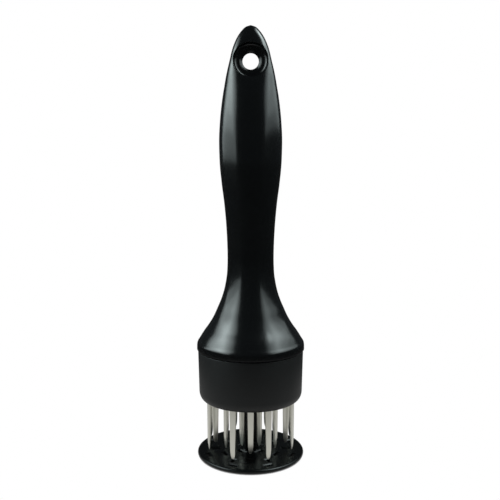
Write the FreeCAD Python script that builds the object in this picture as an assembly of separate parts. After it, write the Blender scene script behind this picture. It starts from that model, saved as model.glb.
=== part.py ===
"""Blade meat tenderizer: a bell-shaped handle over a screw-off blade head with a sprung guard.

Millimetres, +Z up. The origin is the centre of the guard's underside, on which the tool stands.
The pieces that stay still belong to the handle, and the guard slides up over the blades.
"""
import FreeCAD, Part
import math
import os

# Guard: the slotted disc that rests on the meat
guard_radius = 26.0
guard_thickness = 2.2
guard_edge_radius = 0.9
slot_clearance = 0.4
slot_lead_in = 0.45

# Guard post: a round post with two flats, so that the slots stay over the blades
post_radius = 4.0
post_half_flat = 3.3
post_running_fit = 0.1

# Collar: the ring that screws on below the bell
collar_bottom = 28.5
collar_radius_bottom = 25.0
collar_flare = 0.45
collar_wall = 1.5
collar_corner = 1.8
collar_top_corner = 0.5
seam_gap = 1.0
lip_thickness = 1.8
lip_ledge = 0.85

# Bayonet that holds the collar: lugs inside it, and L-shaped channels in the handle's spigot
lug_count = 3
lug_width = 7.0
lug_height = 3.0
lug_depth = 1.1
lug_drop = 5.5
lug_clearance = 0.2
lug_turn = 24.0

# Blades: flat strips with a wider head and a lancet point
blade_width = 3.1
blade_tip_width = 2.5
blade_thickness = 1.0
blade_point_length = 5.5
blade_point_thickness = 0.3
blade_head_width = 4.3
blade_head_height = 1.0
blade_fit = 0.06
tip_height = 5.0
edge_gap = 0.4

# Rings of blades inside the outermost ring: count, radius, angle of the first from the front,
# and how far each blade is turned from facing outward, so that rings cut across each other
outer_blade_count = 8
inner_rings = [
    (4, 6.0, 45.0, 0.0),
    (6, 13.8, 0.0, 0.0),
    (6, 17.2, 30.0, 90.0),
]

# Plates that hold the blades' heads
holder_thickness = 4.5
holder_fit = 0.2
plate_thickness = 3.0

# Self-tapping screws with pan heads
screw_radius = 1.5
screw_head_radius = 2.7
screw_head_height = 1.8
screw_recess_width = 0.8
screw_recess_depth = 0.9
screw_fit = 0.05
plate_screw_count = 3
plate_screw_ring = 10.2
plate_screw_angle = 90.0
plate_screw_depth = 3.6
post_screw_depth = 11.0

# Washer on top of the post, which stops the guard's fall and carries the spring
washer_radius = 5.8
washer_thickness = 1.2
washer_gap = 0.1

# Return spring
spring_outer_radius = 5.65
spring_wire_radius = 0.55
spring_turns = 8.5
spring_step_count = 10
spring_side_count = 5
spring_end_gap = 0.05

# Handle: one moulding with a bell, a waist, a belly and a flat end with a hanging hole
overall_length = 205.0
rim_height = 53.0
rim_radius = 25.3
groove_radius = 24.3
bell_wall = 3.0
spigot_wall = 2.6
spring_seat_rise = 31.0
spring_bore_fit = 0.5
core_radius = 4.3
core_stop = 27.4
hole_drop = 16.4
hole_radius = 3.9
web_thickness = 3.6
dish_radius = 8.0
dish_floor_radius = 4.7
dish_wall_start = 4.4

# Stations of the bell above its rim, where it is round: height, radius
bell_stations = [
    (0.35, 25.72),
    (1.4, 25.95),
    (2.9, 25.76),
    (4.9, 24.67),
    (7.9, 22.82),
    (11.9, 20.0),
    (15.8, 17.73),
    (19.7, 15.98),
    (23.7, 14.27),
]

# Stations of the grip above the bell's rim: height, half width, half depth, and fullness, which
# is that of a true oval low down and more towards the tip, where the sides are flatter
oval = 2 - math.sqrt(2)
oval_weight = (1 + math.sqrt(2)) / 3
grip_stations = [
    (27.6, 12.98, 12.85, oval),
    (31.5, 12.07, 11.75, oval),
    (37.3, 11.25, 10.8, oval),
    (44.0, 11.02, 10.4, oval),
    (52.0, 11.2, 10.45, oval),
    (60.0, 11.62, 10.7, oval),
    (70.0, 12.5, 11.25, oval),
    (80.0, 13.75, 11.9, oval),
    (90.0, 14.62, 12.3, 0.59),
    (99.0, 14.82, 12.2, 0.6),
    (108.0, 14.37, 11.7, 0.62),
    (116.0, 13.55, 10.7, 0.655),
    (124.0, 12.3, 9.2, 0.71),
    (130.5, 11.05, 7.7, 0.76),
    (136.0, 9.7, 6.5, 0.8),
    (140.5, 8.6, 5.8, 0.825),
    (144.0, 7.35, 5.2, 0.81),
    (147.0, 5.85, 4.4, 0.78),
    (149.4, 4.1, 3.4, 0.74),
    (151.0, 2.4, 2.15, 0.68),
    (151.8, 1.0, 1.0, oval),
]
corner_step_count = 2

# Heights that follow from the sizes above
collar_top = rim_height - seam_gap
holder_bottom = collar_bottom + lip_thickness
holder_top = holder_bottom + holder_thickness
plate_top = holder_top + plate_thickness
post_top = plate_top + washer_gap
washer_top = post_top + washer_thickness
spring_seat_height = rim_height + spring_seat_rise
hole_height = overall_length - hole_drop
core_top = hole_height - core_stop

# Radii that follow from the sizes above
collar_radius_top = collar_radius_bottom + collar_flare
collar_bore = collar_radius_bottom - collar_wall
holder_radius = collar_bore - holder_fit
lip_opening = holder_radius - lip_ledge
outer_ring_radius = (
    math.sqrt((lip_opening - edge_gap) ** 2 - (blade_width / 2) ** 2) - blade_thickness / 2
)
spigot_radius = collar_bore - holder_fit
spigot_bore = spigot_radius - spigot_wall
spring_bore = spring_outer_radius + spring_bore_fit


def cylinder(radius, bottom, top):
    """A round post on the tool's axis between two heights."""
    return Part.makeCylinder(radius, top - bottom, FreeCAD.Vector(0, 0, bottom))


def turned(points):
    """A solid of revolution about Z from (radius, height) corners."""
    corners = [FreeCAD.Vector(radius, 0, height) for radius, height in points]
    outline = Part.makePolygon(corners + [corners[0]])
    return Part.Face(outline).revolve(FreeCAD.Vector(0, 0, 0), FreeCAD.Vector(0, 0, 1), 360)


def rounded(radius, height, size, side):
    """Corner points that round a turned piece's outer edge; side is 1 for its top, -1 below."""
    points = []
    for index in range(corner_step_count + 1):
        angle = math.pi / 2 * index / corner_step_count
        out = radius - size + size * math.cos(angle)
        up = height - side * size + side * size * math.sin(angle)
        points.append((out, up))
    return points if side > 0 else list(reversed(points))


def block(width, depth, bottom, top):
    """A box centred on the axis, width along X and depth along Y."""
    corner = FreeCAD.Vector(-width / 2, -depth / 2, bottom)
    return Part.makeBox(width, depth, top - bottom, corner)


def put(shape, radius, angle, twist=0.0):
    """A copy moved out to a radius at an angle from the front, its flat side facing outward."""
    placed = shape.copy()
    placed.rotate(FreeCAD.Vector(0, 0, 0), FreeCAD.Vector(0, 0, 1), twist)
    placed.translate(FreeCAD.Vector(0, -radius, 0))
    placed.rotate(FreeCAD.Vector(0, 0, 0), FreeCAD.Vector(0, 0, 1), angle)
    return placed


def blade_places():
    """Radius, angle and twist of every blade, outermost ring first."""
    step = 360.0 / outer_blade_count
    rings = [(outer_blade_count, outer_ring_radius, step / 2, 0.0)]
    rings += sorted(inner_rings, key=lambda ring: -ring[1])
    places = []
    for count, radius, first, twist in rings:
        for index in range(count):
            places.append((radius, first + index * 360.0 / count, twist))
    return places


def double_d(radius, half_flat, bottom, top):
    """A round post with a flat on its front and back."""
    return cylinder(radius, bottom, top).common(block(radius * 3, half_flat * 2, bottom, top))


def section(height, half_width, half_depth, fullness):
    """An oval outline at one height, in four quarters whose fullness makes it round or squarish."""
    quarters = []
    for side_x, side_y in ((1, 1), (-1, 1), (-1, -1), (1, -1)):
        poles = [
            FreeCAD.Vector(side_x * half_width, 0, height),
            FreeCAD.Vector(side_x * half_width, side_y * half_depth * fullness, height),
            FreeCAD.Vector(side_x * half_width * fullness, side_y * half_depth, height),
            FreeCAD.Vector(0, side_y * half_depth, height),
        ]
        if side_x * side_y < 0:
            poles.reverse()
        curve = Part.BezierCurve()
        curve.setPoles(poles)
        curve.setWeight(2, oval_weight)
        curve.setWeight(3, oval_weight)
        quarters.append(curve.toShape())
    return Part.Wire(quarters)


def handle_body():
    """The outside of the handle: a turned bell, and a grip through oval sections above it."""
    stretch = (overall_length - rim_height) / (grip_stations[-1][0] + 0.2)
    profile = [(0, rim_height), (rim_radius, rim_height)]
    for height, radius in bell_stations:
        profile.append((radius, rim_height + height * stretch))
    neck_radius, neck_height = profile[-1]
    bell = turned(profile + [(0, neck_height)])
    rings = [section(neck_height, neck_radius, neck_radius, grip_stations[0][3])]
    for height, half_width, half_depth, fullness in grip_stations:
        level = rim_height + height * stretch
        rings.append(section(level, half_width, half_depth, fullness))
    return bell.fuse(Part.makeLoft(rings, True, True))


def bell_cavity():
    """The hollow inside the bell, one wall thickness inside it, down to the spigot's mouth."""
    points = [(0, plate_top - 1)]
    points.append((spigot_bore, plate_top - 1))
    points.append((spigot_bore, rim_height + 1))
    for height, radius in bell_stations:
        inside = radius - bell_wall * 1.25
        reach = rim_height + height
        if height > 1 and spring_bore < inside < spigot_bore:
            points.append((inside, reach))
    points.append((spring_bore, points[-1][1] + 2))
    points.append((spring_bore, spring_seat_height))
    points.append((core_radius, spring_seat_height))
    points.append((core_radius, core_top))
    points.append((0, core_top + core_radius * 0.6))
    return turned(points)


def channel():
    """One L-shaped way in the spigot for a collar lug: down its side, then around."""
    depth = (lug_depth + lug_clearance) * 2
    width = lug_width + 2 * lug_clearance
    seat_top = collar_top - lug_drop + lug_clearance
    seat_bottom = seat_top - lug_height - 2 * lug_clearance
    entry = put(block(width, depth, plate_top - 1, seat_top), spigot_radius, -lug_turn)
    around = entry
    steps = 6
    for index in range(1, steps + 1):
        angle = -lug_turn + lug_turn * index / steps
        around = around.fuse(put(block(width, depth, seat_bottom, seat_top), spigot_radius, angle))
    return around


def build_handle():
    """The handle with its spigot, its inside and the hanging hole between two dishes."""
    outside = handle_body()
    neck = cylinder(groove_radius, collar_top + 0.3, rim_height + 0.5)
    spigot = cylinder(spigot_radius, plate_top, rim_height + 0.5)
    shape = outside.fuse(neck).fuse(spigot).cut(bell_cavity())
    for index in range(lug_count):
        way = channel()
        way.rotate(FreeCAD.Vector(0, 0, 0), FreeCAD.Vector(0, 0, 1), index * 360.0 / lug_count)
        shape = shape.cut(way)
    across = FreeCAD.Vector(0, 1, 0)
    start = FreeCAD.Vector(0, -dish_radius * 3, hole_height)
    shape = shape.cut(Part.makeCylinder(hole_radius, dish_radius * 6, start, across))
    for side in (-1, 1):
        dish = turned([
            (0, web_thickness / 2),
            (dish_floor_radius, web_thickness / 2),
            ((dish_floor_radius + dish_radius) / 2 + 0.55, web_thickness / 2 + 0.55),
            (dish_radius, dish_wall_start),
            (dish_radius, dish_radius * 3),
            (0, dish_radius * 3),
        ])
        dish.rotate(FreeCAD.Vector(0, 0, 0), FreeCAD.Vector(1, 0, 0), -side * 90)
        dish.translate(FreeCAD.Vector(0, 0, hole_height))
        shape = shape.cut(dish)
    return shape


def build_collar():
    """The ring around the spigot, with a lip under the blade holder and lugs in its bore."""
    profile = [(0, collar_bottom)]
    profile += rounded(collar_radius_bottom, collar_bottom, collar_corner, -1)
    profile += rounded(collar_radius_top, collar_top, collar_top_corner, 1)
    profile.append((0, collar_top))
    outside = turned(profile)
    shape = outside.cut(cylinder(collar_bore, holder_bottom, collar_top + 1))
    shape = shape.cut(cylinder(lip_opening, collar_bottom - 1, holder_bottom + 1))
    lug_top = collar_top - lug_drop
    ring = cylinder(collar_bore + collar_wall / 2, lug_top - lug_height, lug_top)
    ring = ring.cut(cylinder(collar_bore - lug_depth, lug_top - lug_height, lug_top))
    for index in range(lug_count):
        bar = block(lug_width, lug_depth * 6, lug_top - lug_height, lug_top)
        lug = put(bar, collar_bore, index * 360.0 / lug_count).common(ring)
        shape = shape.fuse(lug)
    return shape.removeSplitter()


def build_blade():
    """One blade at the axis: head, strip and a point ground from both faces."""
    half = blade_width / 2
    half_tip = blade_tip_width / 2
    half_head = blade_head_width / 2
    shoulder = tip_height + blade_point_length
    head_bottom = holder_top - blade_head_height
    corners = [
        (-half_head, holder_top),
        (-half_head, head_bottom),
        (-half, head_bottom),
        (-half, holder_bottom),
        (-half_tip, shoulder),
        (-half_tip * 0.72, tip_height + blade_point_length * 0.36),
        (-half_tip * 0.34, tip_height + blade_point_length * 0.09),
        (0, tip_height),
    ]
    mirrored = [(-across, height) for across, height in reversed(corners[:-1])]
    front = [FreeCAD.Vector(x, -blade_thickness / 2, z) for x, z in corners + mirrored]
    outline = Part.makePolygon(front + [front[0]])
    strip = Part.Face(outline).extrude(FreeCAD.Vector(0, blade_thickness, 0))
    thin = blade_point_thickness / 2
    thick = blade_thickness / 2
    side = [
        (-thick, holder_top),
        (-thick, shoulder),
        (-thin, tip_height),
        (thin, tip_height),
        (thick, shoulder),
        (thick, holder_top),
    ]
    profile = [FreeCAD.Vector(-blade_head_width, y, z) for y, z in side]
    wedge = Part.Face(Part.makePolygon(profile + [profile[0]]))
    return strip.common(wedge.extrude(FreeCAD.Vector(blade_head_width * 2, 0, 0)))


def screw(top_of_seat, depth):
    """A pan-head screw on the axis, its head's underside at the seat."""
    head_top = top_of_seat + screw_head_height
    profile = [(0, top_of_seat), (screw_head_radius, top_of_seat)]
    profile += rounded(screw_head_radius, head_top, screw_head_height * 0.5, 1)
    head = turned(profile + [(0, head_top)])
    arm = screw_head_radius * 1.1
    recess = block(arm, screw_recess_width, head_top - screw_recess_depth, head_top + 1)
    recess = recess.fuse(block(screw_recess_width, arm, head_top - screw_recess_depth, head_top + 1))
    shank = cylinder(screw_radius, top_of_seat - depth + screw_radius, top_of_seat)
    point = Part.makeCone(
        0.2, screw_radius, screw_radius, FreeCAD.Vector(0, 0, top_of_seat - depth)
    )
    return head.cut(recess).fuse(shank).fuse(point).removeSplitter()


def build_holder(places):
    """The plate that the blades hang in, keyed to the guard's post."""
    shape = cylinder(holder_radius, holder_bottom, holder_top)
    head_bottom = holder_top - blade_head_height
    slot_width = blade_width + 2 * blade_fit
    slot_depth = blade_thickness + 2 * blade_fit
    slot = block(slot_width, slot_depth, holder_bottom - 1, holder_top + 1)
    pocket = block(blade_head_width + 2 * blade_fit, slot_depth, head_bottom, holder_top + 1)
    cutter = slot.fuse(pocket)
    shape = shape.cut(Part.makeCompound([put(cutter, *place) for place in places]))
    fit = post_running_fit
    hole = double_d(post_radius + fit, post_half_flat + fit, holder_bottom - 1, holder_top + 1)
    shape = shape.cut(hole)
    pilot = cylinder(screw_radius + screw_fit, holder_top - plate_screw_depth, holder_top + 1)
    for index in range(plate_screw_count):
        angle = plate_screw_angle + index * 360.0 / plate_screw_count
        shape = shape.cut(put(pilot, plate_screw_ring, angle))
    return shape


def build_plate():
    """The plate screwed down on the blades' heads."""
    shape = cylinder(holder_radius, holder_top, plate_top)
    fit = post_running_fit
    shape = shape.cut(double_d(post_radius + fit, post_half_flat + fit, holder_top, plate_top))
    hole = cylinder(screw_radius + screw_fit, holder_top - 1, plate_top + 1)
    for index in range(plate_screw_count):
        angle = plate_screw_angle + index * 360.0 / plate_screw_count
        shape = shape.cut(put(hole, plate_screw_ring, angle))
    return shape


def build_guard(places):
    """The slotted disc with its keyed post, drilled for the screw that holds the washer."""
    profile = [(0, 0)]
    profile += rounded(guard_radius, 0, guard_edge_radius, -1)
    profile += rounded(guard_radius, guard_thickness, guard_edge_radius, 1)
    disc = turned(profile + [(0, guard_thickness)])
    width = blade_width + 2 * slot_clearance
    depth = blade_thickness + 2 * slot_clearance
    slot = block(width, depth, -1, guard_thickness + 1)
    rings = []
    for spread, height in ((0, guard_thickness - slot_lead_in), (slot_lead_in, guard_thickness)):
        half_x = width / 2 + spread
        half_y = depth / 2 + spread
        corners = [(-half_x, -half_y), (half_x, -half_y), (half_x, half_y), (-half_x, half_y)]
        points = [FreeCAD.Vector(x, y, height) for x, y in corners]
        rings.append(Part.makePolygon(points + [points[0]]))
    cutter = slot.fuse(Part.makeLoft(rings, True, True))
    disc = disc.cut(Part.makeCompound([put(cutter, *place) for place in places]))
    post = double_d(post_radius, post_half_flat, guard_thickness / 2, post_top)
    shape = disc.fuse(post)
    pilot = cylinder(screw_radius + screw_fit, post_top - post_screw_depth + 1, post_top + 1)
    return shape.cut(pilot)


def build_washer():
    """The washer between the post and the spring."""
    hole = cylinder(screw_radius + screw_fit, post_top - 1, washer_top + 1)
    return cylinder(washer_radius, post_top, washer_top).cut(hole)


def wire_outline(mean_radius, turn, height):
    """The spring wire's outline at one step of its coil, with few sides."""
    corners = []
    for index in range(spring_side_count):
        around = 2 * math.pi * (index + 0.5) / spring_side_count
        radius = mean_radius + spring_wire_radius * math.cos(around)
        level = height + spring_wire_radius * math.sin(around)
        corners.append(FreeCAD.Vector(radius * math.cos(turn), radius * math.sin(turn), level))
    return Part.makePolygon(corners + [corners[0]])


def build_spring():
    """The helical spring between the washer and the seat inside the handle."""
    bottom = washer_top + spring_end_gap
    mean_radius = spring_outer_radius - spring_wire_radius
    rise = (spring_seat_height - bottom) - 2 * spring_wire_radius
    steps = round(spring_turns * spring_step_count)
    rings = []
    for index in range(steps + 1):
        turn = 2 * math.pi * index / spring_step_count
        height = bottom + spring_wire_radius + rise * index / steps
        rings.append(wire_outline(mean_radius, turn, height))
    return Part.makeLoft(rings, True, True)


def save(shape, node):
    """Write one piece under its node's name."""
    shape.exportStep("parts/" + node + ".step")


os.makedirs("parts", exist_ok=True)

places = blade_places()
blade = build_blade()
for number, place in enumerate(places, start=1):
    save(put(blade, *place), "blade_%02d" % number)

plate_screws = [
    put(screw(plate_top, plate_screw_depth + plate_thickness - 0.4), plate_screw_ring,
        plate_screw_angle + index * 360.0 / plate_screw_count)
    for index in range(plate_screw_count)
]

save(build_handle(), "handle")
save(build_collar(), "collar")
save(build_holder(places), "blade_holder")
save(build_plate(), "clamp_plate")
save(Part.makeCompound(plate_screws), "plate_screws")
save(build_guard(places), "guard")
save(build_washer(), "stop_washer")
save(screw(washer_top, post_screw_depth), "post_screw")
save(build_spring(), "return_spring")
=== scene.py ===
import bmesh
import bpy
import math
import numpy as np
from mathutils import Matrix, Vector


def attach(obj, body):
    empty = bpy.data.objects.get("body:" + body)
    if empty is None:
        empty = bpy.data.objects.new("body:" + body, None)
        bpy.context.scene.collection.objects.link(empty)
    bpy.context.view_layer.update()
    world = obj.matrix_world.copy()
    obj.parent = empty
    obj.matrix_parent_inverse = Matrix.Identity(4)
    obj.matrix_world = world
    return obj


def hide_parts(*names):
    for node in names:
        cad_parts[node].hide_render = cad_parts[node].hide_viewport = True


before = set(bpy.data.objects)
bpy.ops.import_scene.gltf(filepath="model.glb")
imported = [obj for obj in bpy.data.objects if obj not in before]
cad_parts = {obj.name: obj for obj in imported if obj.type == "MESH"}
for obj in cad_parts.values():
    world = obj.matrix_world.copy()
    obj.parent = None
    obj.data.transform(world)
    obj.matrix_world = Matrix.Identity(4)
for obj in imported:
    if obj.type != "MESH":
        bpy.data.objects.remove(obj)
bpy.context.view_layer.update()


# Handle: one moulding in high-gloss black ABS, with a bell, a waist, a belly and a flat tip.
# Its skin is a grid of oval rings. Around the hanging hole the grid opens into a circle on both
# faces, and rings of the same count carry it down the dish and through the hole.
mm = 1e-3
hair = 1e-6

# Height, half width, half depth and power of the oval: 2 is an ellipse, and more is fuller
handle_stations = [
    (53.0, 25.93, 25.93, 2.0), (53.6, 25.95, 25.95, 2.0), (54.8, 25.93, 25.93, 2.0),
    (55.9, 25.8, 25.8, 2.0), (57.9, 24.67, 24.67, 2.0), (60.9, 22.82, 22.82, 2.0),
    (64.9, 20.0, 20.0, 2.0), (68.8, 17.73, 17.73, 2.0), (72.7, 15.98, 15.98, 2.0),
    (76.7, 14.27, 14.27, 2.0), (80.6, 12.98, 12.85, 2.0), (84.5, 12.07, 11.75, 2.0),
    (90.3, 11.25, 10.8, 2.0), (97.0, 11.02, 10.4, 2.0), (105.0, 11.2, 10.45, 2.0),
    (113.0, 11.62, 10.7, 2.0), (123.0, 12.5, 11.25, 2.0), (133.0, 13.75, 11.9, 2.0),
    (143.0, 14.62, 12.3, 2.01), (152.0, 14.82, 12.2, 2.04), (161.0, 14.37, 11.7, 2.1),
    (169.0, 13.55, 10.7, 2.12), (177.0, 12.3, 9.2, 2.3), (183.5, 11.05, 7.7, 2.8),
    (189.0, 9.7, 6.5, 3.3), (193.5, 8.6, 5.75, 3.3), (197.0, 7.35, 4.85, 3.1),
    (200.0, 5.85, 4.05, 2.8), (202.4, 4.1, 3.15, 2.5), (204.0, 2.4, 2.05, 2.3),
    (204.8, 0.4, 0.4, 2.0),
]
station_z, station_width, station_depth, station_power = [
    np.array(column) for column in zip(*handle_stations)]
rim_z, shoulder_z, neck_z, tip_z = station_z[0], 58.0, 80.0, station_z[-1]

# The hanging hole: its height, the circle that the grid opens into, how far around it the grid
# is bent, in circle radii, and how fast the bent grid spreads
hole_z = 188.6
rim_circle = 8.3
bend_reach = 1.6
bend_spread = 0.5

# Columns in a quarter of a ring, and the half block of columns and rows that the hole takes out
quarter = 32
block_columns = 20
block_rows = 14
row_step = rim_circle / block_rows
count = 4 * quarter


def along(values, z):
    """A smooth curve through the handle's stations, with slopes that never overshoot."""
    z = min(max(z, station_z[0]), station_z[-1])
    i = min(int(np.searchsorted(station_z, z, side="right")) - 1, len(station_z) - 2)
    steps = np.diff(station_z)
    rises = np.diff(values) / steps
    slopes = []
    for k in (i, i + 1):
        if k == 0 or k == len(station_z) - 1:
            slopes.append(rises[min(k, len(rises) - 1)])
        elif rises[k - 1] * rises[k] <= 0:
            slopes.append(0.0)
        else:
            w1 = 2 * steps[k] + steps[k - 1]
            w2 = steps[k] + 2 * steps[k - 1]
            slopes.append((w1 + w2) / (w1 / rises[k - 1] + w2 / rises[k]))
    h = steps[i]
    t = (z - station_z[i]) / h
    return ((1 + 2 * t) * (1 - t) ** 2 * values[i] + t * (1 - t) ** 2 * h * slopes[0]
            + t * t * (3 - 2 * t) * values[i + 1] + t * t * (t - 1) * h * slopes[1])


def skin_y(x, z):
    """How far the handle's oval skin stands from the middle plane at one point of its outline."""
    ratio = min(abs(x) / along(station_width, z), 1.0)
    power = along(station_power, z)
    return along(station_depth, z) * (1 - ratio ** power) ** (1 / power)


def skin_point(column, row_z):
    """Where one corner of the skin's grid lies, or None inside the hanging hole's circle."""
    j = (column + quarter) % (2 * quarter) - quarter
    across, up = j / block_columns, (row_z - hole_z) / rim_circle
    reach = max(abs(across), abs(up))
    if reach < 1 - hair:
        return None
    x, z = along(station_width, row_z) * math.sin(math.pi / 2 * j / quarter), row_z
    if reach < bend_reach:
        blend = (reach - 1) / (bend_reach - 1)
        weight = max(0.0, 1 - blend * blend * (3 - 2 * blend))
        turn = math.atan2(up, across)
        radius = rim_circle * (1 + (reach - 1) * bend_spread)
        x = x * (1 - weight) + radius * math.cos(turn) * weight
        z = row_z * (1 - weight) + (hole_z + radius * math.sin(turn)) * weight
    y = skin_y(x, z) if abs(j) < quarter else 0.0
    on_back = quarter <= column < 3 * quarter
    return (-x, y, z) if on_back else (x, -y, z)


def add_vert(bm, point):
    """A vertex of a bmesh at a point in millimetres."""
    return bm.verts.new([value * mm for value in point])


def bridge(bm, ring, following):
    """Faces between two rings of vertices, left out where a vertex is missing."""
    for k in range(len(ring)):
        n = (k + 1) % len(ring)
        corners = (ring[k], ring[n], following[n], following[k])
        if None not in corners:
            bm.faces.new(corners)


def finish_mesh(bm, name, sharp_angle=None):
    """A mesh from a bmesh, normals outward, smooth but for edges above an angle if one is given."""
    bmesh.ops.recalc_face_normals(bm, faces=bm.faces)
    mesh = bpy.data.meshes.new(name)
    bm.to_mesh(mesh)
    bm.free()
    if sharp_angle:
        mesh.shade_smooth()
        mesh.set_sharp_from_angle(angle=math.radians(sharp_angle))
    return mesh


def add_object(name, data):
    """A new object in the scene, at the origin."""
    added = bpy.data.objects.new(name, data)
    bpy.context.collection.objects.link(added)
    return added


# The skin, in rows from the bell's rim to the tip: close together at the rim, in even steps past
# the hole, and closing in on the tip
rim_rows, bell_rows, grip_rows, tip_rows = 15, 27, 61, 22
rows = list(np.linspace(rim_z, shoulder_z, rim_rows + 1)[:-1])
rows += list(np.linspace(shoulder_z, neck_z, bell_rows + 1)[:-1])
rows += list(np.linspace(neck_z, hole_z - rim_circle * 2, grip_rows + 1)[:-1])
rows += [hole_z + i * row_step for i in range(-2 * block_rows, block_rows + 1)]
tip_start = rows[-1]
rows += [tip_start + (tip_z - tip_start) * math.sin(math.pi / 2 * k / tip_rows)
         for k in range(1, tip_rows)]

bm = bmesh.new()
grid = []
for row_z in rows:
    points = [skin_point(column, row_z) for column in range(count)]
    grid.append([add_vert(bm, point) if point else None for point in points])
for lower, upper in zip(grid[:-1], grid[1:]):
    bridge(bm, lower, upper)
pole = add_vert(bm, (0, 0, tip_z))
for c in range(count):
    bm.faces.new((grid[-1][c], grid[-1][(c + 1) % count], pole))

# Both dishes, as rings from the rim inward: radius, depth below the rim's level, and how much of
# the skin's own height above that level is left in the ring
rim_level = 4.4
dish_rings = [
    (8.16, 0.05, 1.0), (8.07, 0.25, 1.0), (8.0, 0.6, 0.9), (7.96, 0.95, 0.45), (7.85, 1.25, 0.12),
    (7.6, 1.65, 0.0), (7.1, 2.06, 0.0), (6.4, 2.35, 0.0), (5.8, 2.5, 0.0), (5.4, 2.6, 0.0),
    (5.1, 2.72, 0.0), (4.6, 2.98, 0.0), (4.1, 3.26, 0.0), (3.85, 3.45, 0.0), (3.8, 3.7, 0.0),
]
first_row = rows.index(hole_z - block_rows * row_step)
last_row = first_row + 2 * block_rows
hole_loops = []
for side, centre in ((-1, 0), (1, 2 * quarter)):
    columns = [(centre + c) % count for c in range(-block_columns, block_columns + 1)]
    loop = [grid[first_row][c] for c in columns]
    loop += [grid[r][columns[-1]] for r in range(first_row + 1, last_row + 1)]
    loop += [grid[last_row][c] for c in reversed(columns[:-1])]
    loop += [grid[r][columns[0]] for r in range(last_row - 1, first_row, -1)]
    outer = loop
    for radius, drop, kept in dish_rings:
        inner = []
        for vert in loop:
            x = vert.co.x * 1e3
            z = vert.co.z * 1e3 - hole_z
            scale = radius / math.hypot(x, z)
            rise = (abs(vert.co.y) * 1e3 - rim_level) * kept
            y = side * (rim_level - drop + rise)
            inner.append(add_vert(bm, (x * scale, y, hole_z + z * scale)))
        bridge(bm, outer, inner)
        outer = inner
    hole_loops.append(outer)

# The hole's wall, from the front dish to the back one
front_loop, back_loop = hole_loops
start = min(range(len(back_loop)), key=lambda k: (back_loop[k].co - front_loop[0].co).xz.length)
bridge(bm, front_loop, [back_loop[(start - k) % len(back_loop)] for k in range(len(back_loop))])

# The spigot that goes down into the collar, and the hollow inside the bell: radius and height
spigot_profile = [
    (25.05, 52.9), (24.6, 52.85), (24.32, 52.8), (24.3, 52.4), (23.4, 52.35), (23.3, 52.2),
    (23.3, 38.0), (23.1, 37.8), (20.9, 37.8), (20.7, 38.0), (20.7, 56.0), (6.2, 80.0),
]
above = grid[0]
for radius, z in spigot_profile:
    ring = []
    for column in range(count):
        turn = math.pi / 2 * (column / quarter)
        ring.append(add_vert(bm, (radius * math.sin(turn), -radius * math.cos(turn), z)))
    bridge(bm, ring, above)
    above = ring
bm.faces.new(above)
handle_mesh = finish_mesh(bm, "handle_shell", sharp_angle=50)
handle = add_object("handle_shell", handle_mesh)


def linear(hex_code):
    """A colour written as sRGB hex, turned into Blender's linear RGBA."""
    channels = [int(hex_code[i:i + 2], 16) / 255 for i in (1, 3, 5)]
    return [c / 12.92 if c <= 0.04045 else ((c + 0.055) / 1.055) ** 2.4 for c in channels] + [1.0]


def add_node(tree, kind, settings=None, **links):
    """A shader node with its settings; a link's value is another node's output socket."""
    node = tree.nodes.new("ShaderNode" + kind)
    for name, value in (settings or {}).items():
        if name in node.inputs:
            node.inputs[name].default_value = value
        else:
            setattr(node, name, value)
    for name, output in links.items():
        tree.links.new(output, node.inputs[name.replace("_", " ")])
    return node


def new_material(name):
    """A material with its node tree, its main shader and the place on the object."""
    material = bpy.data.materials.new(name)
    material.use_nodes = True
    tree = material.node_tree
    place = add_node(tree, "TexCoord").outputs["Object"]
    return material, tree, tree.nodes["Principled BSDF"], place


def tint_between(tree, shader, pattern, dark, light):
    """A base colour that goes from dark to light with a pattern."""
    ramp = add_node(tree, "ValToRGB", Fac=pattern.outputs["Fac"])
    ramp.color_ramp.elements[0].color = linear(dark)
    ramp.color_ramp.elements[1].color = linear(light)
    tree.links.new(ramp.outputs["Color"], shader.inputs["Base Color"])


def roughen_between(tree, shader, pattern, least, most, start=0.0, end=1.0):
    """A roughness that goes from least to most as a pattern goes from start to end."""
    spread = {"From Min": start, "From Max": end, "To Min": least, "To Max": most}
    rough = add_node(tree, "MapRange", spread, Value=pattern.outputs["Fac"])
    tree.links.new(rough.outputs["Result"], shader.inputs["Roughness"])


def emboss(tree, shader, pattern, strength, depth):
    """A pattern raised on the surface by up to a depth in millimetres."""
    bump = add_node(tree, "Bump", {"Strength": strength, "Distance": depth * mm},
                    Height=pattern.outputs["Fac"])
    tree.links.new(bump.outputs["Normal"], shader.inputs["Normal"])


# Black ABS, moulded against a polished tool: near-black with a mirror gloss. Sink waves about
# 22 mm long tint and ripple it faintly, and a handling film in 1 mm patches dulls its gloss.
gloss_abs, tree, shader, place = new_material("ABS black high gloss moulded")
waves = add_node(tree, "TexNoise", {"Scale": 45.0, "Detail": 1.0}, Vector=place)
film = add_node(tree, "TexNoise", {"Scale": 900.0, "Detail": 3.0, "Roughness": 0.6}, Vector=place)
roughen_between(tree, shader, film, 0.15, 0.21, start=0.3, end=0.75)
tint_between(tree, shader, waves, "#060708", "#0b0c0d")
emboss(tree, shader, waves, 0.25, 0.06)
handle_mesh.materials.append(gloss_abs)
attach(handle, "handle_body")
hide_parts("handle")


# Collar: the ring that screws on below the bell, moulded in black ABS with a fine matt skin.
# It is turned from one outline: rounded foot, slightly tapered wall, rounded top and inner lip.
def oval_arc(centre, half_size, start, end, steps):
    """Points of an outline along an upright oval, as radius and height, between two angles."""
    turns = [math.radians(start + (end - start) * k / steps) for k in range(steps + 1)]
    return [(centre[0] + half_size[0] * math.cos(turn), centre[1] + half_size[1] * math.sin(turn))
            for turn in turns]


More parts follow.
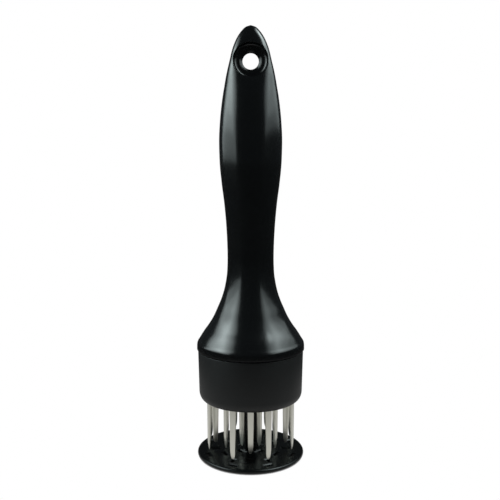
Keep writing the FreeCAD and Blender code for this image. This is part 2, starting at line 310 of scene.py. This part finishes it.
def turn_outline(bm, outline, closed, steps):
    """Turn an outline of radii and heights once around the tool's axis."""
    verts = [add_vert(bm, (radius, 0, z)) for radius, z in outline]
    edges = [bm.edges.new(pair) for pair in zip(verts[:-1], verts[1:])]
    if closed:
        edges.append(bm.edges.new((verts[-1], verts[0])))
    bmesh.ops.spin(bm, geom=verts + edges, axis=(0, 0, 1), cent=(0, 0, 0), angle=2 * math.pi,
                   steps=steps, use_merge=True)


collar_bottom, lip_top, collar_top = 28.5, 30.3, 52.4
lip_bore, collar_bore = 22.45, 23.5
collar_profile = [(22.5, collar_bottom)]
collar_profile += oval_arc((22.6, 32.5), (2.4, 4.0), -90, 0, 10)
collar_profile += oval_arc((25.15, 52.1), (0.3, 0.3), 0, 90, 4)
collar_profile += [(24.45, collar_top), (collar_bore, 52.0), (collar_bore, lip_top)]
collar_profile += [(lip_bore, lip_top), (lip_bore, 28.65)]
bm = bmesh.new()
turn_outline(bm, collar_profile, closed=True, steps=160)
collar_mesh = finish_mesh(bm, "collar_ring", sharp_angle=40)
collar = add_object("collar_ring", collar_mesh)

# Black ABS with a spark-eroded matt skin: a grain of about 0.3 mm breaks up its shine, and the
# shine and tint drift a little over about 8 mm
matt_abs, tree, shader, place = new_material("ABS black fine matt moulded")
shader.inputs["Specular IOR Level"].default_value = 0.4
grain = add_node(tree, "TexNoise", {"Scale": 3500.0, "Detail": 2.0}, Vector=place)
cloud = add_node(tree, "TexNoise", {"Scale": 120.0, "Detail": 2.0}, Vector=place)
roughen_between(tree, shader, cloud, 0.44, 0.56)
tint_between(tree, shader, cloud, "#060708", "#090a0b")
emboss(tree, shader, grain, 0.3, 0.04)
collar_mesh.materials.append(matt_abs)
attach(collar, "handle_body")
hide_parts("collar")


# Blades: 24 flat strips of ground stainless steel with blunt lancet points, held by their wider
# heads. One strip is cut across at the heights below, drawn in at each, and copied into the
# place and turn of each CAD node.
blade_width = 3.1
blade_thickness = 1.0
edge_break = 0.1

# Height, width and thickness, from the head down to the point
blade_levels = [
    (34.8, 4.3, 1.0), (33.8, 4.3, 1.0), (33.75, 3.1, 1.0), (30.3, 3.1, 1.0), (24.0, 2.92, 1.0),
    (17.0, 2.7, 1.0), (10.5, 2.5, 1.0), (9.0, 2.44, 0.81), (8.0, 2.36, 0.68), (7.0, 2.16, 0.55),
    (6.2, 1.86, 0.45), (5.6, 1.5, 0.38), (5.25, 1.15, 0.33), (5.06, 0.8, 0.3), (5.01, 0.5, 0.25),
]

# Count, radius, angle of the first blade from the front, and turn of each blade from facing out
blade_rings = [
    (8, 21.5, 22.5, 0.0),
    (6, 17.2, 30.0, 90.0),
    (6, 13.8, 0.0, 0.0),
    (4, 6.0, 45.0, 0.0),
]
blade_spots = []
for ring_count, ring_radius, first_angle, twist in blade_rings:
    for index in range(ring_count):
        around = Matrix.Rotation(math.radians(first_angle + index * 360 / ring_count), 4, "Z")
        out = Matrix.Translation((0, -ring_radius * mm, 0))
        blade_spots.append(around @ out @ Matrix.Rotation(math.radians(twist), 4, "Z"))


def block(bm, width, depth, bottom, top):
    """A block around the axis between two heights, all in millimetres."""
    bmesh.ops.create_cube(bm, size=mm)
    bmesh.ops.scale(bm, vec=(width, depth, top - bottom), verts=bm.verts)
    bmesh.ops.translate(bm, vec=(0, 0, (top + bottom) / 2 * mm), verts=bm.verts)


def cut_across(bm, point, normal, clear_outer=False):
    """Cut a bmesh by a plane through a point in millimetres, and drop what is outside if asked."""
    bmesh.ops.bisect_plane(bm, geom=bm.verts[:] + bm.edges[:] + bm.faces[:], dist=1e-8,
                           plane_co=[value * mm for value in point], plane_no=normal,
                           clear_outer=clear_outer)


def scale_level(bm, z, across, deep):
    """Scale the vertices at one height, in millimetres, towards or from the axis."""
    level = [vert for vert in bm.verts if abs(vert.co.z - z * mm) < hair]
    bmesh.ops.scale(bm, vec=(across, deep, 1), verts=level)


head_z, point_z = blade_levels[0][0], blade_levels[-1][0]
bm = bmesh.new()
block(bm, blade_width, blade_thickness, point_z, head_z)
for z, _, _ in blade_levels[1:-1]:
    cut_across(bm, (0, 0, z), (0, 0, 1))
for z, width, thickness in blade_levels:
    scale_level(bm, z, width / blade_width, thickness / blade_thickness)
long_edges = [edge for edge in bm.edges if abs(edge.verts[0].co.z - edge.verts[1].co.z) > hair]
bmesh.ops.bevel(bm, geom=long_edges, offset=edge_break * mm, segments=2, profile=0.5,
                affect="EDGES", material=-1, clamp_overlap=True)
blade_form = finish_mesh(bm, "blade_form", sharp_angle=40)

# Stainless strip, ground along its length: lines about 0.1 mm apart and 4 mm long, which vary
# its dull polish and catch the light
blade_steel, tree, shader, place = new_material("stainless steel ground strip")
shader.inputs["Metallic"].default_value = 1.0
stretch = add_node(tree, "Mapping", {"Scale": (9000.0, 9000.0, 250.0)}, Vector=place)
lines = add_node(tree, "TexNoise", {"Scale": 1.0, "Detail": 3.0}, Vector=stretch.outputs["Vector"])
roughen_between(tree, shader, lines, 0.24, 0.4)
tint_between(tree, shader, lines, "#cfcec4", "#e6e5dc")
emboss(tree, shader, lines, 0.2, 0.02)
blade_form.materials.append(blade_steel)
for number, spot in enumerate(blade_spots, start=1):
    blade_mesh = blade_form.copy()
    blade_mesh.transform(spot)
    blade = add_object("blade_strip_%02d" % number, blade_mesh)
    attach(blade, "handle_body")
    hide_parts("blade_%02d" % number)


# Guard: the slotted disc on which the tool stands, with its keyed post, in one black moulding.
# The disc is turned with a round rim, 24 slots with a lead-in are cut through it, and the post
# stands on its middle.
guard_top = 2.2
flat_radius = 24.92
rim_half_width = 1.08
rim_profile = oval_arc((flat_radius, guard_top / 2), (rim_half_width, guard_top / 2), -90, 90, 12)
bm = bmesh.new()
turn_outline(bm, rim_profile, closed=False, steps=180)
for z in (0, guard_top):
    circle = [vert for vert in bm.verts if abs(vert.co.z - z * mm) < hair]
    circle.sort(key=lambda vert: math.atan2(vert.co.y, vert.co.x))
    bm.faces.new(circle)
guard = add_object("guard_disc", finish_mesh(bm, "guard_disc"))

# One slot, 0.4 mm clear of its blade all round and 0.45 mm wider on each side at the top
slot_width = 3.9
slot_depth = 1.8
lead_in = 0.45
cut_bottom, cut_top = -1.0, 3.0
bm = bmesh.new()
block(bm, slot_width, slot_depth, cut_bottom, cut_top)
for z in (guard_top - lead_in, guard_top):
    cut_across(bm, (0, 0, z), (0, 0, 1))
for z in (guard_top, cut_top):
    scale_level(bm, z, 1 + 2 * lead_in / slot_width, 1 + 2 * lead_in / slot_depth)
slot_form = finish_mesh(bm, "slot_form")

# All slots in one cutter, and the disc without them
bm = bmesh.new()
for spot in blade_spots:
    slot_form.transform(spot)
    bm.from_mesh(slot_form)
    slot_form.transform(spot.inverted())
cutter = add_object("slot_cutter", finish_mesh(bm, "slot_cutter"))
cut = guard.modifiers.new("slots", "BOOLEAN")
cut.operation = "DIFFERENCE"
cut.solver = "EXACT"
cut.object = cutter
bpy.context.view_layer.update()
depsgraph = bpy.context.evaluated_depsgraph_get()
guard_mesh = bpy.data.meshes.new_from_object(guard.evaluated_get(depsgraph))
guard.modifiers.clear()
guard.data = guard_mesh
bpy.data.objects.remove(cutter)
bpy.data.meshes.remove(slot_form)
guard_mesh.shade_smooth()
guard_mesh.set_sharp_from_angle(angle=math.radians(30))

# Black ABS from a fine-polished tool: semi-gloss, so that the blades mirror in it only softly,
# with a handling film in 2 mm patches
guard_abs, tree, shader, place = new_material("ABS black semi-gloss moulded")
shader.inputs["Base Color"].default_value = linear("#070808")
shader.inputs["Specular IOR Level"].default_value = 0.24
film = add_node(tree, "TexNoise", {"Scale": 500.0, "Detail": 3.0}, Vector=place)
roughen_between(tree, shader, film, 0.24, 0.29)
guard_mesh.materials.clear()
guard_mesh.materials.append(guard_abs)
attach(guard, "guard_body")
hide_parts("guard")

# The post: round, flared where it meets the disc, with two flats planed along it
post_radius = 4.0
post_half_flat = 3.3
post_bottom, post_top = 2.1, 37.9
flare_levels = [(2.2, 1.1), (2.5, 1.03), (3.0, 1.0)]
bm = bmesh.new()
bmesh.ops.create_cone(bm, cap_ends=True, segments=48, radius1=post_radius * mm,
                      radius2=post_radius * mm, depth=(post_top - post_bottom) * mm)
bmesh.ops.translate(bm, vec=(0, 0, (post_bottom + post_top) / 2 * mm), verts=bm.verts)
for z, _ in flare_levels:
    cut_across(bm, (0, 0, z), (0, 0, 1))
for z, flare in [(post_bottom, 1.12)] + flare_levels:
    scale_level(bm, z, flare, flare)
for side in (-1, 1):
    cut_across(bm, (0, side * post_half_flat, 0), (0, side, 0), clear_outer=True)
    bmesh.ops.edgeloop_fill(bm, edges=[edge for edge in bm.edges if edge.is_boundary])
post_mesh = finish_mesh(bm, "guard_post", sharp_angle=30)
post_mesh.materials.append(guard_abs)
post = add_object("guard_post", post_mesh)
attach(post, "guard_body")


# Blade holder and clamp plate: plain black nylon plates that hold the blades inside the collar.
# Only the holder's underside shows, from below. Both keep their CAD shapes.
def dress(names, material):
    """Give CAD nodes that keep their shapes a material."""
    for name in names:
        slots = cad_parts[name].data.materials
        slots.clear()
        slots.append(material)


# Plain moulded nylon: half matt, with flow marks about 2.5 mm across in its tint and shine
nylon, tree, shader, place = new_material("nylon black as moulded")
flow = add_node(tree, "TexNoise", {"Scale": 400.0, "Detail": 4.0}, Vector=place)
roughen_between(tree, shader, flow, 0.35, 0.55)
tint_between(tree, shader, flow, "#131414", "#1a1b1b")
dress(("blade_holder", "clamp_plate"), nylon)


# Screws, stop washer and return spring: plain stainless steel, hidden inside the bell.
# They keep their CAD shapes.

# Drawn and turned stainless steel: a grey metal with marks about 0.4 mm across
plain_steel, tree, shader, place = new_material("stainless steel plain")
shader.inputs["Metallic"].default_value = 1.0
marks = add_node(tree, "TexNoise", {"Scale": 2500.0, "Detail": 3.0}, Vector=place)
roughen_between(tree, shader, marks, 0.22, 0.38)
tint_between(tree, shader, marks, "#aaaaa8", "#c4c4c2")
dress(("plate_screws", "post_screw", "stop_washer", "return_spring"), plain_steel)


# Floor: a plain white sheet that fades into the white background. The camera sees it as pure white
# with a painted shadow where something stands close over it, and glossy surfaces see a painted glow
# on it, like white card near the tool, fading to a dark room further off. It reaches 4 m each way,
# 0.2 mm under the tool.
floor_reach = 4
floor_gap = 0.2
bm = bmesh.new()
bmesh.ops.create_grid(bm, x_segments=1, y_segments=1, size=floor_reach)
bmesh.ops.translate(bm, vec=(0, 0, -floor_gap * mm), verts=bm.verts)
floor_mesh = bpy.data.meshes.new("floor")
bm.to_mesh(floor_mesh)
bm.free()
floor = add_object("floor", floor_mesh)

# White paper: the painted shadow, taken from occlusion, reaches 6 mm from what stands over it, and
# the painted glow that glossy surfaces see fades out between 80 and 200 mm from the tool's axis
paper = bpy.data.materials.new("white paper sweep")
paper.use_nodes = True
tree = paper.node_tree
tree.nodes.clear()
rays = add_node(tree, "LightPath")
place = add_node(tree, "TexCoord").outputs["Object"]
reach = add_node(tree, "VectorMath", {"operation": "LENGTH"}, Vector=place).outputs["Value"]
# Painted shadow: the white that the camera sees is dimmed where occlusion finds something close
# over it
shade = add_node(tree, "AmbientOcclusion", {"Distance": 0.006, "samples": 8})
under = add_node(tree, "MapRange", {"From Min": 0.04, "From Max": 0.4, "To Min": 0.02},
                 Value=shade.outputs["AO"])
seen = add_node(tree, "Emission", {"Color": linear("#ffffff")}, Strength=under.outputs["Result"])
# Painted glow: glossy surfaces see the floor emit light, bright near the tool and fading further
# off
glow_fade = add_node(tree, "MapRange",
                {"From Min": 0.08, "From Max": 0.2, "To Min": 0.72, "To Max": 0.03}, Value=reach)
painted_glow = add_node(tree, "Emission", {"Color": linear("#f4f4f2")},
                    Strength=glow_fade.outputs["Result"])
card = add_node(tree, "BsdfDiffuse", {"Color": linear("#e8e8e6")})
first = add_node(tree, "MixShader", Fac=rays.outputs["Is Glossy Ray"])
tree.links.new(card.outputs["BSDF"], first.inputs[1])
tree.links.new(painted_glow.outputs["Emission"], first.inputs[2])
second = add_node(tree, "MixShader", Fac=rays.outputs["Is Camera Ray"])
tree.links.new(first.outputs["Shader"], second.inputs[1])
tree.links.new(seen.outputs["Emission"], second.inputs[2])
add_node(tree, "OutputMaterial", Surface=second.outputs["Shader"])
floor_mesh.materials.append(paper)


# World: white to the camera, and a dim grey room to everything else. It lights the sides of the
# tool that no softbox reaches.
world = bpy.data.worlds.new("studio")
bpy.context.scene.world = world
world.use_nodes = True
tree = world.node_tree
tree.nodes.clear()
rays = add_node(tree, "LightPath")
room = add_node(tree, "Background", {"Color": linear("#8f969a"), "Strength": 0.15})
page = add_node(tree, "Background", {"Color": linear("#ffffff"), "Strength": 1.0})
mix = add_node(tree, "MixShader", Fac=rays.outputs["Is Camera Ray"])
tree.links.new(room.outputs["Background"], mix.inputs[1])
tree.links.new(page.outputs["Background"], mix.inputs[2])
add_node(tree, "OutputWorld", Surface=mix.outputs["Shader"])


# Softboxes, one on each side and one high on the right. Each is a stack of five panels, the
# smaller ones nearer the tool, so that it is brightest in the middle and fades to its edges.

# Name, azimuth in degrees from the front (left is negative), in metres the distance, height,
# height aimed at, width and tallness, and watts of the largest panel
softboxes = [
    ("left_box", -80, 0.45, 0.41, 0.41, 0.62, 0.54, 2.3),
    ("right_box", 84, 0.45, 0.45, 0.45, 0.76, 0.46, 1.5),
    ("high_box", 80, 0.36, 0.66, 0.19, 0.42, 0.3, 1.5),
]
panel_shares = (1.0, 0.72, 0.48, 0.32, 0.18)
panel_gap = 0.004
lamp_colour = linear("#e4f3f3")[:3]
for name, azimuth, distance, height, aim_height, width, tall, watts in softboxes:
    turn = math.radians(azimuth)
    spot = Vector((distance * math.sin(turn), -distance * math.cos(turn), height))
    aim = Vector((0, 0, aim_height)) - spot
    for layer, share in enumerate(panel_shares):
        lamp = bpy.data.lights.new(name, "AREA")
        lamp.shape = "RECTANGLE"
        lamp.size = width * share
        lamp.size_y = tall * share
        lamp.energy = watts * share ** 2
        lamp.color = lamp_colour
        panel = add_object(name, lamp)
        panel.location = spot + aim.normalized() * panel_gap * layer
        panel.rotation_euler = aim.to_track_quat("-Z", "Y").to_euler()


# Camera: in front of the tool at two thirds of its height, tipped a little down, as in the
# photograph. Metres, degrees and millimetres of lens.
camera_shift, camera_distance, camera_height = -0.0003, 0.32, 0.138
camera_dip = 6.65
camera_data = bpy.data.cameras.new("camera")
camera_data.sensor_width = 36.0
camera_data.lens = 48.51
camera = add_object("camera", camera_data)
camera.location = (camera_shift, -camera_distance, camera_height)
camera.rotation_euler = (math.radians(90 - camera_dip), 0, 0)
bpy.context.scene.camera = camera
bpy.context.scene.view_settings.view_transform = "Standard"
